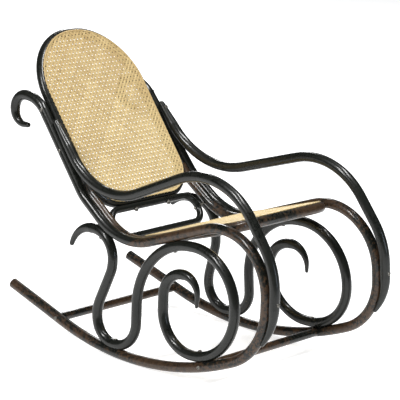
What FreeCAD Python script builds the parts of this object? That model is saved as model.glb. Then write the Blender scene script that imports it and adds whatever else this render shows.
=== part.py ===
import FreeCAD, Part
import math
import os

# Bentwood rocking chair, doll size.  +X is the way the sitter faces, +Y the sitter's left, +Z up.
# The origin is on the floor, between the two runners.  All lengths are in mm.

ROD = 6.5               # radius of the bent side rods, the seat frame and the back frame
THIN_ROD = 4.4          # radius of the ring stretcher
BAR = 5.4               # radius of the straight bars
TRACK = 112.3           # half the distance between the runners' centrelines at the floor
LEAN = 2.87             # degrees each side frame leans in towards the top
SINK = 0.4              # how far a rod is let into the one it rests against
TIP_STEP = 0.05         # how much smaller a rod's rounded end is than the rod
REST = 3.6              # degrees the chair leans back at rest
SHIFT = 19.8            # from the line the bends are drawn on to the middle of the length
CANE = 1.2              # thickness of the woven cane
BINDING = 3.6           # width of the cane strip laid over the holes
HEAD = 2.7              # radius of a screw head
SHANK = 1.3             # radius of a screw shank

V = FreeCAD.Vector
os.makedirs("parts", exist_ok=True)


def bent_path(points, closed=False):
    """A wire along (corner, bend radius): straight runs joined by tangent arcs."""
    count = len(points)
    starts, middles, ends = [], [], []
    for i, (corner, radius) in enumerate(points):
        if radius == 0:
            starts.append(corner)
            middles.append(None)
            ends.append(corner)
            continue
        back = (points[(i - 1) % count][0] - corner).normalize()
        ahead = (points[(i + 1) % count][0] - corner).normalize()
        half = back.getAngle(ahead) / 2
        run = radius / math.tan(half)
        starts.append(corner + back * run)
        middles.append(corner + (back + ahead).normalize() * (radius / math.sin(half) - radius))
        ends.append(corner + ahead * run)
    edges = []
    for i in range(count):
        if middles[i] is not None:
            edges.append(Part.Arc(starts[i], middles[i], ends[i]).toShape())
        after = (i + 1) % count
        if (closed or after > 0) and ends[i].distanceToPoint(starts[after]) > 0.01:
            edges.append(Part.makeLine(ends[i], starts[after]))
    return Part.Wire(edges)


def section(edge, at, radius):
    """A circle of that radius, square to the edge at one of its parameters."""
    return Part.Wire(Part.makeCircle(radius, edge.valueAt(at), edge.tangentAt(at)))


def run_along(edge, radius):
    """A round rod of even thickness along one straight or circular edge."""
    face = Part.Face(section(edge, edge.FirstParameter, radius))
    if edge.Curve.TypeId == "Part::GeomLine":
        return face.extrude(edge.valueAt(edge.LastParameter) - edge.valueAt(edge.FirstParameter))
    turn = math.degrees(edge.LastParameter - edge.FirstParameter)
    return face.revolve(edge.Curve.Center, edge.Curve.Axis, turn)


def tapered(edges, radius, end_radius):
    """A round rod along the edges that narrows or widens evenly."""
    first, last = edges[0], edges[-1]
    sections = [
        section(first, first.FirstParameter, radius),
        section(last, last.LastParameter, end_radius),
    ]
    return Part.Wire(edges).makePipeShell(sections, True, False)


def rod(points, radius=ROD, start=None, end=None, closed=False):
    """A round rod along corners.  `start` and `end` are (edges tapered, radius at the tip)."""
    edges = bent_path(points, closed).Edges
    low = start[0] if start else 0
    high = len(edges) - end[0] if end else len(edges)
    pieces = [run_along(edge, radius) for edge in edges[low:high]]
    if start:
        pieces.append(Part.makeSphere(start[1] - TIP_STEP, edges[0].valueAt(edges[0].FirstParameter)))
        if low:
            pieces.append(tapered(edges[:low], start[1], radius))
    if end:
        pieces.append(Part.makeSphere(end[1] - TIP_STEP, edges[-1].valueAt(edges[-1].LastParameter)))
        if end[0]:
            pieces.append(tapered(edges[high:], radius, end[1]))
    return pieces[0].multiFuse(pieces[1:]).removeSplitter()


def in_side(x, height, inset=0.0):
    """A point of the right side frame's plane; inset moves it towards the chair's middle."""
    lean = math.radians(LEAN)
    y = height * math.sin(lean) + inset * math.cos(lean) - TRACK
    return V(x, y, height * math.cos(lean) - inset * math.sin(lean))


def side_path(corners, inset=0.0):
    """Corners (x, height, bend radius) of the right side frame, as points in space."""
    return [(in_side(x, height, inset), radius) for x, height, radius in corners]


def mirrored(shape):
    """The same piece on the left."""
    return shape.mirror(V(0, 0, 0), V(0, 1, 0))


def screw(seat, way, length):
    """A slotted round-head screw whose head sits at `seat`, with its shank along `way`."""
    profile = Part.makePolygon([
        V(0, 0, -1.9),
        V(1.5, 0, -1.8),
        V(2.4, 0, -1.1),
        V(HEAD, 0, 0),
        V(SHANK, 0, 0),
        V(SHANK, 0, length - 2),
        V(0, 0, length),
        V(0, 0, -1.9),
    ])
    body = Part.Face(profile).revolve(V(0, 0, 0), V(0, 0, 1), 360)
    body = body.cut(Part.makeBox(3 * HEAD, 0.7, 1.2, V(-1.5 * HEAD, -0.35, -2.5)))
    body.Placement = FreeCAD.Placement(seat, FreeCAD.Rotation(V(0, 0, 1), way))
    return body


# ------------------------------------------------------------------ side frame, right side

# Hook, upright, seat rail, front bend and runner follow one line of bends.
line = [
    (-190, 277, 0),
    (-214, 277, 18),
    (-214, 315, 18),
    (-173, 315, 43),
    (-88, 199, 60),
    (-18.6, 143.4, 90),
    (215.5, 216.6, 75),
    (215.5, 50, 75),
    (22.7, -19.7, 400),
    (-211, 67.8, 0),
]
lap = FreeCAD.Placement(in_side(0.4, 153.6), FreeCAD.Rotation(V(0, 1, 0), -30))
above_lap = Part.makeBox(120, 60, 60, V(-70, -30, 0))
above_lap.Placement = lap
below_lap = Part.makeBox(120, 60, 40, V(-70, -30, -40))
below_lap.Placement = lap

# The upright ends in a slanting lap on top of the seat rail, at the lowest point of the bend.
upright = rod(side_path(line[:6] + [(27.2, 157.7, 0)]), start=(3, 3.4)).cut(below_lap)
runner = rod(side_path([(-56.2, 173.5, 0)] + line[5:])).cut(above_lap)

# The arms and scrolls of the two sides were bent by hand and differ a little.
right_arm = rod(side_path([
    (-139.4, 286.5, 0),
    (-113, 254.6, 150),
    (-63.5, 187, 96),
    (144, 269.4, 99),
    (228.2, 152, 95),
    (228.2, 82, 66),
    (211.8, 61.9, 0),
]), start=(1, 4), end=(2, 2.6)).cut([upright, runner])

left_arm = rod(side_path([
    (-139.4, 286.5, 0),
    (-73.5, 199, 115),
    (155.8, 259.4, 93),
    (228.2, 152, 93),
    (228.2, 82, 66),
    (211.8, 61.9, 0),
]), start=(1, 4), end=(2, 2.6)).cut([upright, runner])

right_scroll = rod(side_path([
    (-105.9, 136.2, 0),
    (-96.2, 160.5, 35.5),
    (-34, 160.5, 35),
    (-34, 115, 40),
    (-58, 63.5, 44),
    (-58, 19.6, 32.5),
    (9, 19.6, 32.5),
    (9, 161.6, 85),
    (168, 161.6, 70),
    (168, 29, 61),
    (53, 29, 50),
    (53, 125.5, 30),
    (110, 125.5, 23.5),
    (107.5, 90, 0),
]), start=(2, 3.2), end=(2, 2.2)).cut([upright, runner])

left_scroll = rod(side_path([
    (-126, 153.5, 0),
    (-110, 165.5, 45),
    (-50.5, 165.5, 35),
    (-50.5, 109, 40),
    (-66, 60, 44),
    (-66, 19.6, 32.5),
    (5, 19.6, 32.5),
    (5, 160, 85),
    (167.5, 160, 73),
    (167.5, 29, 57),
    (41, 29, 61),
    (41, 127.5, 36),
    (104.5, 127.5, 25),
    (103, 95, 0),
]), start=(2, 3.2), end=(2, 2.2)).cut([upright, runner])

# ------------------------------------------------------------------ seat

# The seat frame is one rod: it lies inside the seat rails, and its ends turn up the uprights.
SEAT_BACK, SEAT_FRONT = 8, 152


def rail_height(x):
    """Height of the seat frame's straight side rail."""
    return 156.5 + 0.2615 * (x - 20)


half_frame = side_path([
    (-97, 211, 0),
    (-88, 199, 60),
    (-21.4, 145.7, 75),
    (SEAT_FRONT, rail_height(SEAT_FRONT), 28),
], inset=2 * ROD - SINK)
frame_points = half_frame + [(V(p.x, -p.y, p.z), r) for p, r in reversed(half_frame)]

seat_frame = rod(frame_points)

rear_corner = in_side(SEAT_BACK, rail_height(SEAT_BACK), 2 * ROD - SINK)
front_corner = half_frame[-1][0]
slope = V(front_corner.x - rear_corner.x, 0, front_corner.z - rear_corner.z).normalize()
seat_up = slope.cross(V(0, 1, 0))
rear_rail = Part.makeCylinder(BAR, -2 * rear_corner.y, rear_corner + seat_up * (ROD - BAR), V(0, 1, 0))


def panel(corners, up):
    """A cane panel and the cane strip laid over its holes, from the corners of the hole line."""
    outline = bent_path(corners, closed=True)
    cane = Part.Face(outline.makeOffset2D(BINDING / 2 - 0.6)).extrude(up * CANE)
    outer = Part.Face(outline.makeOffset2D(BINDING / 2))
    band = outer.cut(Part.Face(outline.makeOffset2D(-BINDING / 2))).extrude(up * 0.9)
    band.translate(up * CANE)
    return cane, band


seat_corners = [
    (rear_corner, 6),
    (front_corner, 28),
    (V(front_corner.x, -front_corner.y, front_corner.z), 28),
    (V(rear_corner.x, -rear_corner.y, rear_corner.z), 6),
]
lift = seat_up * (ROD - 0.6)
seat_cane, seat_binding = panel([(p + lift, r) for p, r in seat_corners], seat_up)

# ------------------------------------------------------------------ back

BACK_HALF, BACK_TOP, BACK_FOOT = 84.8, 3.9, 246   # hole line of the back, down its slope
back_down = V(1, 0, -1.49).normalize()
back_out = back_down.cross(V(0, 1, 0))


def on_back(y, down, out=0.0):
    """A point of the back frame's middle plane, `down` its slope from the top edge."""
    return V(-210, y, 390) + back_down * down + back_out * (out - ROD)


back_corners = [
    (on_back(-BACK_HALF, BACK_TOP), 83),
    (on_back(-BACK_HALF, BACK_FOOT), 42),
    (on_back(BACK_HALF, BACK_FOOT), 42),
    (on_back(BACK_HALF, BACK_TOP), 83),
]
back_frame = rod(back_corners, closed=True)
lift = back_out * (ROD - 0.6)
back_cane, back_binding = panel([(p + lift, r) for p, r in back_corners], back_out)

# ------------------------------------------------------------------ ring and bars

RING_TILT = 38          # degrees the ring leans back
RING_HALF, RING_RISE = 78.5, 19.3
ring_up = V(-math.sin(math.radians(RING_TILT)), 0, math.cos(math.radians(RING_TILT)))


def on_ring(y, up):
    """A point of the ring stretcher's plane, from its middle."""
    return V(-57.6, y, 161.2) + ring_up * up


ring = rod([
    (on_ring(-RING_HALF, -RING_RISE), 18.5),
    (on_ring(RING_HALF, -RING_RISE), 18.5),
    (on_ring(RING_HALF, RING_RISE), 18.5),
    (on_ring(-RING_HALF, RING_RISE), 18.5),
], THIN_ROD, closed=True)


def bar_between(x, height):
    """A straight bar from runner to runner."""
    end = in_side(x, height)
    return Part.makeCylinder(BAR, -2 * end.y, end, V(0, 1, 0)).cut([runner, mirrored(runner)])


rear_bar = bar_between(-126, 36.4)
front_bar = bar_between(119, 17.8)

# ------------------------------------------------------------------ how the pieces meet

side_rods = [upright, runner, mirrored(upright), mirrored(runner)]
back_frame = back_frame.cut([back_cane])
seat_frame = seat_frame.cut(side_rods + [back_frame, seat_cane])
rear_rail = rear_rail.cut([seat_frame, seat_cane])
ring = ring.cut([back_frame])

# ------------------------------------------------------------------ screws and bolts

INWARD = in_side(0, 0, 1) - in_side(0, 0)
front_of_upright = V(0.807, 0, 0.59)


def pairs(screws):
    """Right-hand screws with their mirror images, as separate solids."""
    return Part.makeCompound(screws + [mirrored(one) for one in screws])


arm_top = in_side(-134.8, 281)
arm_foot = in_side(228.2, 113)
arm_screws = pairs([
    screw(arm_top + front_of_upright * 3.7, front_of_upright * -1, 15),
    screw(arm_foot + V(5.6, 0, 0), V(-1, 0, 0), 20),
])

to_upright, to_rail, to_runner = V(0.514, 0, 0.858), V(-0.298, 0.048, 0.953), V(0.12, 0, -0.993)
scroll_screws = Part.makeCompound([
    screw(in_side(-69, 125.5) + to_upright * 29.4, to_upright, 20),
    screw(in_side(94, 76.6) + to_rail * 79.2, to_rail, 20),
    screw(in_side(-25, 25.3), V(0, 0, -1), 17),
    screw(in_side(106, 91) + to_runner * 56.2, to_runner, 17),
    mirrored(screw(in_side(-85.5, 130.5) + to_upright * 29.4, to_upright, 25)),
    mirrored(screw(in_side(90, 75) + to_rail * 79.2, to_rail, 20)),
    mirrored(screw(in_side(-30, 25.3), V(0, 0, -1), 17)),
    mirrored(screw(in_side(106, 89) + to_runner * 54.4, to_runner, 17)),
])

back_screws = pairs([
    screw(in_side(-160.5, 300, -5.6), INWARD, 20),
    screw(in_side(-126.5, 252, -5.6), INWARD, 24),
])
seat_screws = pairs([
    screw(in_side(45, rail_height(45), 2 * ROD + 5.2), INWARD * -1, 20),
    screw(in_side(125, rail_height(125), 2 * ROD + 5.2), INWARD * -1, 20),
    screw(in_side(-82, 193, 2 * ROD + 5.2), INWARD * -1, 20),
])
to_seat_frame = V(0.40, -0.78, 0.48).normalize()
ring_screws = pairs([screw(on_ring(-RING_HALF, 0) - to_seat_frame * 3.7, to_seat_frame, 24)])
bar_screws = pairs([
    screw(in_side(-126, 36.4, -5.6), V(0, 1, 0), 24),
    screw(in_side(119, 17.8, -5.6), V(0, 1, 0), 24),
])

# Two bolts tie the ring's top to the foot of the back frame, with a nut on each.
bolt_way = V(0.839, 0, -0.544).normalize()
bolt_seats = [on_back(y, BACK_FOOT) - bolt_way * 5.3 for y in (-30, 30)]
ring_bolts = Part.makeCompound([screw(seat, bolt_way, 25) for seat in bolt_seats])
nuts = []
for seat in bolt_seats:
    corners = [V(2.9 * math.cos(math.radians(a)), 2.9 * math.sin(math.radians(a)), 0) for a in range(0, 361, 60)]
    nut = Part.Face(Part.makePolygon(corners)).extrude(V(0, 0, 2.4))
    nut = nut.cut(Part.makeCylinder(SHANK, 3))
    nut.Placement = FreeCAD.Placement(seat + bolt_way * 20.1, FreeCAD.Rotation(V(0, 0, 1), bolt_way))
    nuts.append(nut)
ring_nuts = Part.makeCompound(nuts)

fasteners = {
    "arm_screws": arm_screws,
    "scroll_screws": scroll_screws,
    "back_frame_screws": back_screws,
    "seat_frame_screws": seat_screws,
    "ring_screws": ring_screws,
    "ring_bolts": ring_bolts,
    "ring_nuts": ring_nuts,
    "bar_screws": bar_screws,
}


def drilled(shape):
    """The shape with a hole for each screw and bolt that enters it."""
    for group in fasteners.values():
        for one in group.Solids:
            if shape.BoundBox.intersect(one.BoundBox):
                shape = shape.cut(one)
    return shape


pieces = {
    "seat_frame": drilled(seat_frame),
    "seat_rear_rail": rear_rail,
    "seat_cane": seat_cane,
    "seat_cane_binding": seat_binding,
    "back_frame": drilled(back_frame),
    "back_cane": back_cane,
    "back_cane_binding": back_binding,
    "ring_stretcher": drilled(ring),
    "rear_bar": drilled(rear_bar),
    "front_bar": drilled(front_bar),
}
for name, shape in {"upright": upright, "runner": runner, "arm": right_arm, "scroll": right_scroll}.items():
    pieces["right_" + name] = drilled(shape)
for name, shape in {"upright": upright, "runner": runner, "arm": left_arm, "scroll": left_scroll}.items():
    pieces["left_" + name] = drilled(mirrored(shape))
pieces.update(fasteners)

# At rest the chair leans back on its runners until its weight is over the point they touch at.
at_rest = FreeCAD.Placement(V(-SHIFT, 0, 0), FreeCAD.Rotation(V(0, 1, 0), -REST), V(25, 0, 406.5))
for name, shape in pieces.items():
    shape.Placement = at_rest.multiply(shape.Placement)
    shape.exportStep("parts/" + name + ".step")
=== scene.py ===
import math
import random

import bpy
from mathutils import Matrix, Vector


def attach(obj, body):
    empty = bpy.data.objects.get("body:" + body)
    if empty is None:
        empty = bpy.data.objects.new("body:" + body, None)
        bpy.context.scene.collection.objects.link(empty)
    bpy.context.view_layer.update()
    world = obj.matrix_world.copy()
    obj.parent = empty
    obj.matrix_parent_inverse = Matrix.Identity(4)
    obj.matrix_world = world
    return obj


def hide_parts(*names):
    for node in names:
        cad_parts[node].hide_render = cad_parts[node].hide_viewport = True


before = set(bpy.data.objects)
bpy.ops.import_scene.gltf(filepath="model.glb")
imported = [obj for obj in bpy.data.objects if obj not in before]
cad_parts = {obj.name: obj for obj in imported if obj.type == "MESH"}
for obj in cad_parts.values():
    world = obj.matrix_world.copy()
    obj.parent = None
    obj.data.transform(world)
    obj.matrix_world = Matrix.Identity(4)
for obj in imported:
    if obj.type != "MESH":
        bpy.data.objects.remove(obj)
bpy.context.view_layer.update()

# An ebonised bentwood rocking chair at doll size. The side rods, frames and screws are the CAD's own
# solids with better materials. The two cane panels and their edge strips are woven here, strand by strand.

random.seed(7)

# ------------------------------------------------------------------ camera

EYE = Vector((1.7763, -2.0181, 0.8575))
AIM = Vector((0.0042, 0.0069, 0.1897))
ROLL = math.radians(2.805)
LENS, SENSOR = 198, 36      # mm

camera_data = bpy.data.cameras.new("camera")
camera_data.lens = LENS
camera_data.sensor_width = SENSOR
camera_data.clip_end = 60
camera = bpy.data.objects.new("camera", camera_data)
bpy.context.collection.objects.link(camera)
bpy.context.scene.camera = camera
ahead = (AIM - EYE).normalized()
level = ahead.cross(Vector((0, 0, 1))).normalized()
upright = level.cross(ahead)
right = level * math.cos(ROLL) + upright * math.sin(ROLL)
up = upright * math.cos(ROLL) - level * math.sin(ROLL)
camera.matrix_world = Matrix.Translation(EYE) @ Matrix((right, up, -ahead)).transposed().to_4x4()

# ------------------------------------------------------------------ light and floor


MIDDLE = Vector((0, 0, 0.18))       # what the lamps point at


def lamp(name, place, size, power, colour=(1, 1, 1)):
    """A long soft box that shines on the chair's middle; size is (width, height) in metres."""
    data = bpy.data.lights.new(name, "AREA")
    data.shape = "RECTANGLE"
    data.size, data.size_y = size
    data.energy = power
    data.color = colour
    obj = bpy.data.objects.new(name, data)
    obj.location = place
    obj.rotation_euler = (MIDDLE - Vector(place)).to_track_quat("-Z", "Y").to_euler()
    bpy.context.collection.objects.link(obj)


lamp("key", (-0.2, -2.4, 2.4), (0.35, 1.5), 70)
lamp("overhead", (0.5, 0.2, 2.4), (1.4, 0.22), 42)
lamp("window", (2.6, 0.3, 0.9), (0.16, 1.1), 13, (0.72, 0.84, 1))
lamp("rim", (-1.7, 1.7, 1.4), (0.2, 1.2), 16)

world = bpy.data.worlds.new("world")
bpy.context.scene.world = world
world.use_nodes = True
background = world.node_tree.nodes["Background"]
background.inputs["Color"].default_value = (0.8, 0.85, 0.9, 1)
background.inputs["Strength"].default_value = 0.06
bpy.context.scene.view_settings.view_transform = "Standard"


def tree(name):
    """A new material with its node tree, shader and a helper that adds nodes to it."""
    material = bpy.data.materials.new(name)
    material.use_nodes = True
    nodes, links = material.node_tree.nodes, material.node_tree.links
    shader = nodes["Principled BSDF"]

    def add(kind, inputs=None, **settings):
        node = nodes.new("ShaderNode" + kind)
        for key, value in settings.items():
            setattr(node, key, value)
        for key, value in (inputs or {}).items():
            if hasattr(value, "is_output"):
                links.new(value, node.inputs[key])
            else:
                node.inputs[key].default_value = value
        return node

    return material, shader, add, links


def ramp(add, value, stops):
    """A colour ramp over value; stops are (place, colour or grey)."""
    node = add("ValToRGB", {"Fac": value})
    points = node.color_ramp.elements
    while len(points) < len(stops):
        points.new(0.5)
    for point, (place, colour) in zip(points, stops):
        point.position = place
        point.color = (colour, colour, colour, 1) if isinstance(colour, float) else colour + (1,)
    return node.outputs["Color"]


def floor_white():
    """Matt white paper that glows a little, so that shadows on it stay faint."""
    material, shader, _, _ = tree("floor_white")
    shader.inputs["Base Color"].default_value = (0.9, 0.9, 0.9, 1)
    shader.inputs["Roughness"].default_value = 0.9
    shader.inputs["Specular IOR Level"].default_value = 0.1
    shader.inputs["Emission Color"].default_value = (1, 1, 1, 1)
    shader.inputs["Emission Strength"].default_value = 0.72
    return material


FLOOR = 20                  # half the floor's width
floor_mesh = bpy.data.meshes.new("floor")
floor_corners = [(-FLOOR, -FLOOR, 0), (FLOOR, -FLOOR, 0), (FLOOR, FLOOR, 0), (-FLOOR, FLOOR, 0)]
floor_mesh.from_pydata(floor_corners, [], [(0, 1, 2, 3)])
floor_mesh.materials.append(floor_white())
floor = bpy.data.objects.new("floor", floor_mesh)
bpy.context.collection.objects.link(floor)

# ------------------------------------------------------------------ materials

MIX_A, MIX_B, MIX_RESULT = 6, 7, 2      # the colour sockets of a Mix node


def ebonised(name, worn_from, gloss):
    """Black-stained, polished beech. It is rubbed to brown where its two noises add up to worn_from."""
    material, shader, add, links = tree(name)
    place = add("TexCoord").outputs["Object"]
    broad = add("TexNoise", {"Vector": place, "Scale": 22, "Detail": 4, "Roughness": 0.6}).outputs["Fac"]
    fine = add("TexNoise", {"Vector": place, "Scale": 260, "Detail": 6, "Roughness": 0.7}).outputs["Fac"]
    grain = add("TexNoise", {"Vector": place, "Scale": 900, "Detail": 3}).outputs["Fac"]
    both = add("Math", {0: broad, 1: fine}, operation="ADD").outputs[0]
    black = ramp(add, fine, [(0.3, (0.004, 0.005, 0.004)), (0.75, (0.013, 0.014, 0.011))])
    rubbed = ramp(add, fine, [(0.3, (0.018, 0.011, 0.006)), (0.7, (0.075, 0.042, 0.022))])
    worn = ramp(add, both, [(worn_from, 0.0), (1.0, 1.0)])
    colour = add("Mix", {"Factor": worn, MIX_A: black, MIX_B: rubbed}, data_type="RGBA")
    links.new(colour.outputs[MIX_RESULT], shader.inputs["Base Color"])
    rough = ramp(add, both, [(0.7, gloss), (1.0, gloss + 0.22)])
    links.new(rough, shader.inputs["Roughness"])
    shader.inputs["Specular IOR Level"].default_value = 0.22
    shader.inputs["Coat Weight"].default_value = 0.3
    shader.inputs["Coat Roughness"].default_value = 0.09
    bump = add("Bump", {"Height": grain, "Strength": 0.06, "Distance": 0.0004})
    wave = add("Bump", {"Height": broad, "Strength": 0.25, "Distance": 0.002, "Normal": bump.outputs[0]})
    links.new(wave.outputs[0], shader.inputs["Normal"])
    return material


def steel(name):
    """Dull screw steel with darker spots."""
    material, shader, add, links = tree(name)
    place = add("TexCoord").outputs["Object"]
    spots = add("TexNoise", {"Vector": place, "Scale": 700, "Detail": 5}).outputs["Fac"]
    colour = ramp(add, spots, [(0.35, (0.06, 0.055, 0.05)), (0.7, (0.26, 0.25, 0.22))])
    links.new(colour, shader.inputs["Base Color"])
    rough = ramp(add, spots, [(0.3, 0.55), (0.7, 0.28)])
    links.new(rough, shader.inputs["Roughness"])
    shader.inputs["Metallic"].default_value = 0.85
    bump = add("Bump", {"Height": spots, "Strength": 0.15, "Distance": 0.0002})
    links.new(bump.outputs[0], shader.inputs["Normal"])
    return material


def straw(name, dark, light):
    """Split cane: gold with fine fibres, each strand a little different, and paler low down from a painted
    gradient of light.
    """
    material, shader, add, links = tree(name)
    place = add("TexCoord").outputs["Object"]
    tint = add("Attribute", attribute_name="tint").outputs["Fac"]
    broad = add("TexNoise", {"Vector": place, "Scale": 18, "Detail": 3}).outputs["Fac"]
    fine = add("TexNoise", {"Vector": place, "Scale": 1400, "Detail": 4, "Roughness": 0.7}).outputs["Fac"]
    height = add("SeparateXYZ", {"Vector": place}).outputs["Z"]
    # Painted light: the cane's colour is pushed paler from the top of the back down to the seat, as if more
    # light fell low down.
    painted_light_low = add("MapRange", {"Value": height, "From Min": 0.39, "From Max": 0.17, "To Max": 1.4}).outputs[0]
    total = add("Math", {0: broad, 1: painted_light_low}, operation="ADD").outputs[0]
    total = add("Math", {0: tint, 1: total}, operation="ADD").outputs[0]
    total = add("Math", {0: total, 1: fine}, operation="ADD").outputs[0]
    share = add("Math", {0: total, 1: 3.0}, operation="DIVIDE").outputs[0]
    colour = ramp(add, share, [(0.3, dark), (0.95, light)])
    links.new(colour, shader.inputs["Base Color"])
    shader.inputs["Roughness"].default_value = 0.42
    shader.inputs["Specular IOR Level"].default_value = 0.4
    shader.inputs["Sheen Weight"].default_value = 0.1
    bump = add("Bump", {"Height": fine, "Strength": 0.3, "Distance": 0.0001})
    links.new(bump.outputs[0], shader.inputs["Normal"])
    return material


lacquer = ebonised("ebonised_beech", 1.0, 0.14)
worn_lacquer = ebonised("ebonised_beech_worn", 0.944, 0.2)
metal = steel("dull_steel")
cane_gold = straw("cane_gold", (0.40, 0.26, 0.095), (0.74, 0.57, 0.28))
binding_gold = straw("binding_gold", (0.40, 0.255, 0.09), (0.74, 0.56, 0.27))

for name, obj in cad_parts.items():
    if name.endswith(("screws", "bolts", "nuts")):
        finish = metal
    elif name.endswith(("runner", "seat_frame", "rear_bar", "front_bar")):
        finish = worn_lacquer
    else:
        finish = lacquer
    for place in obj.material_slots:
        place.material = finish

# ------------------------------------------------------------------ where the panels stand

# The panels are set out in mm on the drawing that the rods were bent to, and then turned with the
# chair to the angle it rests at.
REST = math.radians(3.6)            # how far the chair leans back from the drawing
PIVOT_X, PIVOT_Z = 25, 406.5        # centre of the runners' curve, which the chair turns about
SHIFT = 19.8                        # back to the middle of the chair's length


def at_rest(x, y, z):
    """A point of the drawing, in mm, where it is when the chair stands at rest, in metres."""
    dx, dz = x - PIVOT_X, z - PIVOT_Z
    turned_x = dx * math.cos(REST) - dz * math.sin(REST) + PIVOT_X - SHIFT
    turned_z = dx * math.sin(REST) + dz * math.cos(REST) + PIVOT_Z
    return Vector((turned_x, y, turned_z)) / 1000


CORNER_STEPS = 24       # pieces that a rounded corner of a hole line is divided into


class Panel:
    """A flat cane panel with rounded corners. A point of it is (across, along, out), in mm.

    It lies lift mm out from start. near and far describe the line of holes at its two ends, each as
    (along, half width, corner radius).
    """

    def __init__(self, start, along, lift, near, far):
        self.along = Vector(along)
        self.out = Vector((-self.along.z, 0, self.along.x))
        self.start = Vector(start) + self.out * lift
        self.near, self.far = near, far

    def at(self, across, along, out):
        """Where that point of the panel is on the standing chair."""
        p = self.start + self.along * along + self.out * out
        return at_rest(p.x, p.y + across, p.z)

    def inside(self, across, along):
        """How far a point is inside the hole line; less than nothing outside it."""
        share = (along - self.near[0]) / (self.far[0] - self.near[0])
        half = self.near[1] + (self.far[1] - self.near[1]) * share
        radius = self.near[2] if share < 0.5 else self.far[2]
        over_side = abs(across) - half
        over_end = self.near[0] - along if share < 0.5 else along - self.far[0]
        if over_side > -radius and over_end > -radius:
            return radius - math.hypot(over_side + radius, over_end + radius)
        return -max(over_side, over_end)

    def hole_line(self, step):
        """Points of the hole line, evenly spaced, each with the way out from it."""
        (low, near_half, near_radius), (high, far_half, far_radius) = self.near, self.far
        corners = [
            (-near_half, low, near_radius),
            (-far_half, high, far_radius),
            (far_half, high, far_radius),
            (near_half, low, near_radius),
        ]
        points = []
        for k, (u, v, radius) in enumerate(corners):
            before, after = Vector(corners[k - 1][:2]), Vector(corners[(k + 1) % 4][:2])
            corner = Vector((u, v))
            back, ahead = (before - corner).normalized(), (after - corner).normalized()
            half_angle = back.angle(ahead) / 2
            middle = corner + (back + ahead).normalized() * radius / math.sin(half_angle)
            first = corner + back * radius / math.tan(half_angle) - middle
            last = corner + ahead * radius / math.tan(half_angle) - middle
            turn = first.angle_signed(last)
            for i in range(CORNER_STEPS + 1):
                spoke = Matrix.Rotation(-turn * i / CORNER_STEPS, 2) @ first
                points.append((middle + spoke, spoke.normalized()))
        total = sum((points[k][0] - points[k - 1][0]).length for k in range(len(points)))
        count = round(total / step)
        even = []
        wanted, gone = 0.0, 0.0
        for k in range(len(points)):
            (a, way_a), (b, way_b) = points[k - 1], points[k]
            length = (b - a).length
            while wanted < gone + length and len(even) < count:
                share = (wanted - gone) / length
                even.append((a.lerp(b, share), way_a.lerp(way_b, share).normalized()))
                wanted += total / count
            gone += length
        return even


# A strand's section, as (part of its width, part of its thickness): crowned above, a little less below.
SECTION = [(-0.5, 0.25), (-0.25, 1), (0.25, 1), (0.5, 0.25), (0, 0)]


class Strands:
    """Collects ribbons of cane into one mesh."""

    def __init__(self, panel):
        self.panel = panel
        self.points, self.faces, self.tints = [], [], []

    def ribbon(self, path, width, thick, tint, closed=False):
        """A strand. path holds (across, along, out, side_across, side_along)."""
        first = len(self.points)
        for u, v, out, side_u, side_v in path:
            for shift, rise in SECTION:
                w = shift * width
                self.points.append(self.panel.at(u + side_u * w, v + side_v * w, out + rise * thick))
                self.tints.append(tint)
        count, around = len(path), len(SECTION)
        for k in range(count if closed else count - 1):
            a = first + around * k
            b = first + around * ((k + 1) % count)
            for i in range(around):
                j = (i + 1) % around
                self.faces.append((a + i, a + j, b + j, b + i))

    def piece(self, name, material, node):
        """The ribbons as one object that stands for the CAD's node."""
        mesh = bpy.data.meshes.new(name)
        mesh.from_pydata(self.points, [], self.faces)
        mesh.attributes.new("tint", "FLOAT", "POINT").data.foreach_set("value", self.tints)
        mesh.polygons.foreach_set("use_smooth", [True] * len(mesh.polygons))
        mesh.update()
        mesh.materials.append(material)
        obj = bpy.data.objects.new(name, mesh)
        bpy.context.collection.objects.link(obj)
        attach(obj, "root")
        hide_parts(node)


PITCH = 6.3             # from hole to hole
STRAND = 2.2            # width of a straight strand
APART = 1.3             # of each strand of a pair, from the pair's middle
SLANT = 2.7             # width of a diagonal strand
THICK = 0.5             # of every woven strand
LEVEL, SWING = 0.16, 0.16               # mean height of the straight strands, and how far they rise and fall
SLANT_LEVEL, SLANT_SWING = 0.6, 0.14    # the same for the diagonals, which lie over them
WANDER = 0.08           # how far a strand may be laid off its line
STEPS = 3               # points of a strand from hole to hole
LONGEST = 240           # steps from a strand's middle that are tried
OVER = 0.9              # how far a strand runs past the hole line, under the edge strip

BAND, BAND_THICK, BAND_LEVEL = 2.3, 0.45, 1.15      # the strip that covers the holes
BAND_DIP = 0.12         # where a loop ties the strip down
LOOP, LOOP_THICK = 1.0, 0.28
LOOP_REACH = 1.7        # from the hole line to each end of a loop
LOOP_FOOT, LOOP_RISE = 0.55, 0.85       # height of a loop's ends, and of its middle above them
LOOP_STEPS = 6


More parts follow.
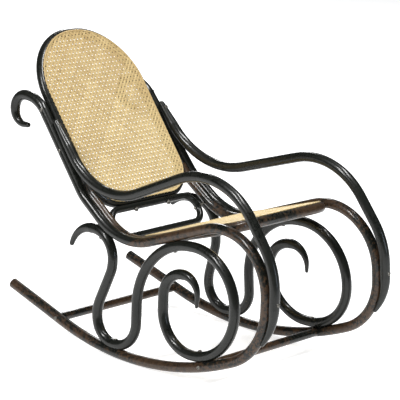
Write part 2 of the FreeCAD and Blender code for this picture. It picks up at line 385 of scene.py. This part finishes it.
def weave(panel, name, node):
    """Six-way cane: pairs of strands each way, and two sets of diagonals that leave eight-sided holes."""
    cane = Strands(panel)
    low, high = panel.near[0], panel.far[0]
    wide = max(panel.near[1], panel.far[1])
    rows = round((high - low) / PITCH)
    row = (high - low) / rows
    origin = low + row / 2

    def lay(start, way, height, width, side):
        """A strand along a line of the panel, as far as the hole line."""
        steps = [k for k in range(-LONGEST, LONGEST + 1)
                 if panel.inside(start[0] + way[0] * k / STEPS, start[1] + way[1] * k / STEPS) > -OVER]
        if len(steps) < 2:
            return
        tint = random.random()
        path = []
        for k in range(steps[0], steps[-1] + 1):
            u = start[0] + way[0] * k / STEPS
            v = start[1] + way[1] * k / STEPS
            path.append((u, v, height(u, v), side[0], side[1]))
        cane.ribbon(path, width * random.uniform(0.93, 1.05), THICK, tint)

    def wave(holes):
        """Over one crossing and under the next."""
        return math.cos(math.pi * holes)

    columns = int(wide / PITCH) + 1
    for i in range(-columns, columns + 1):
        for side in (-APART, APART):
            swing = -SWING if i % 2 else SWING
            start = (i * PITCH + side + random.uniform(-WANDER, WANDER), origin)
            lay(start, (0, row), lambda u, v: LEVEL + swing * wave((v - origin) / row), STRAND, (1, 0))
    for j in range(rows):
        for side in (-APART, APART):
            swing = SWING if j % 2 else -SWING
            start = (0, origin + j * row + side + random.uniform(-WANDER, WANDER))
            lay(start, (PITCH, 0), lambda u, v: LEVEL + swing * wave(u / PITCH), STRAND, (0, -1))
    root_half = math.sqrt(0.5)
    for k in range(-columns - rows, columns + rows + 1):
        for way in (1, -1):
            swing = way * SLANT_SWING
            lay(((k + 0.5) * PITCH, origin), (PITCH, way * row),
                lambda u, v: SLANT_LEVEL + swing * wave(2 * (v - origin) / row),
                SLANT, (way * root_half, -root_half))
    cane.piece(name, cane_gold, node)


def binding(panel, name, node):
    """The flat strand that covers the holes, held down by a loop at each one."""
    band = Strands(panel)
    path = []
    for k, (point, way) in enumerate(panel.hole_line(PITCH / STEPS)):
        level = BAND_LEVEL - BAND_DIP if k % STEPS == 0 else BAND_LEVEL
        path.append((point.x, point.y, level, way.x, way.y))
    band.ribbon(path, BAND, BAND_THICK, 0.5, closed=True)
    for point, way in panel.hole_line(PITCH):
        tint = random.random()
        loop = []
        for k in range(LOOP_STEPS + 1):
            angle = math.pi * k / LOOP_STEPS
            reach = -LOOP_REACH * math.cos(angle)
            level = LOOP_FOOT + LOOP_RISE * math.sin(angle)
            loop.append((point.x + way.x * reach, point.y + way.y * reach, level, way.y, -way.x))
        band.ribbon(loop, LOOP, LOOP_THICK, tint)
    band.piece(name, binding_gold, node)


# The back panel runs down from the top of its frame, and the seat panel forward from its rear rail.
BACK = Panel((-210, 0, 390), (0.5573, 0, -0.8303), -0.6, near=(3.9, 84.8, 83), far=(246, 84.8, 42))
SEAT = Panel((8, 0, 152.54), (0.9675, 0, 0.2527), 5.9, near=(0, 92.04, 6), far=(148.84, 90.15, 28))
weave(BACK, "back_woven_cane", "back_cane")
weave(SEAT, "seat_woven_cane", "seat_cane")
binding(BACK, "back_cane_edging", "back_cane_binding")
binding(SEAT, "seat_cane_edging", "seat_cane_binding")
